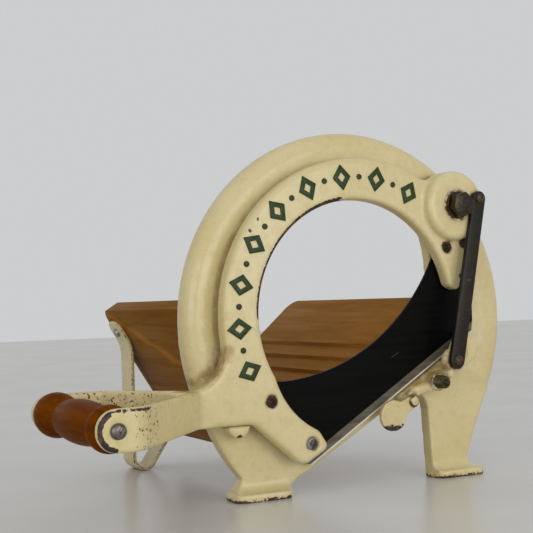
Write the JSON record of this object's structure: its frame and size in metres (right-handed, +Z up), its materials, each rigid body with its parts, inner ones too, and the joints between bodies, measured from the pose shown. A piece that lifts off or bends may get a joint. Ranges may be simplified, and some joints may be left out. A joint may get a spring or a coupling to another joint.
{
  "type": "bread slicer",
  "caption": "Lever bread slicer: a knife bow with a side grip swings a blade past a round opening at the end of a wooden V trough on a cast frame.",
  "frame": {"origin": "bottom centre of the whole slicer's box, on the table under the feet", "axes": "+X to the right along the frame plate, away from the grip; +Y back along the trough; +Z up"},
  "size_m": [0.3944, 0.3112, 0.2772],
  "materials": {
    "enamel": "worn cream stove enamel on cast iron",
    "link_black": "black-brown lacquered steel",
    "blade_steel": "dark carbon steel with a bright ground bevel",
    "bolt_steel": "dull dark steel",
    "screw_steel": "aged steel with rust",
    "grip_wood": "turned and lacquered beech",
    "board_wood": "lacquered beech board"
  },
  "bodies": {
    "frame": {"frame_casting": "enamel", "trough_screws": "screw_steel", "trough_left_board": "board_wood", "trough_right_board": "board_wood", "trough_seam_screws": "screw_steel", "rear_leg": "enamel", "rear_leg_screws": "screw_steel", "link_lower_pin": "bolt_steel", "guide_tab_pin": "enamel", "gauge_screw": "screw_steel"},
    "link": {"link_bar": "link_black"},
    "bow": {"knife_bow": "enamel", "knife_blade": "blade_steel", "blade_screws": "screw_steel", "blade_tip_rivet": "screw_steel", "pivot_bolt": "bolt_steel", "pivot_washer": "bolt_steel", "pivot_spacer": "bolt_steel", "pivot_rear_washer": "bolt_steel", "pivot_nut": "bolt_steel", "link_upper_pin": "bolt_steel", "grip_rod": "screw_steel", "grip_rod_nut": "screw_steel"},
    "grip": {"grip": "grip_wood"},
    "tab": {"guide_tab": "enamel"}
  },
  "joints": [
    {"name": "link_swing", "type": "hinge", "parent": "frame", "child": "link", "pos_m": [0.12729, -0.0814, 0.09578], "axis": [0, 1, 0], "range_deg": [-5.1, 0.1]},
    {"name": "bow_swing", "type": "hinge", "parent": "link", "child": "bow", "pos_m": [0.15428, -0.0814, 0.22451], "axis": [0, 1, 0], "range_deg": [0, 53]},
    {"name": "grip_spin", "type": "hinge", "parent": "bow", "child": "grip", "pos_m": [-0.18125, -0.0744, 0.071], "axis": [0, 1, 0], "continuous": true},
    {"name": "guide_tab_swing", "type": "hinge", "parent": "frame", "child": "tab", "pos_m": [0.09395, -0.0674, 0.0648], "axis": [0, 1, 0], "range_deg": [-30, 30]}
  ],
  "couplings": [
    {"joint": "link_swing", "follows": "bow_swing", "ratio": -0.09434}
  ]
}
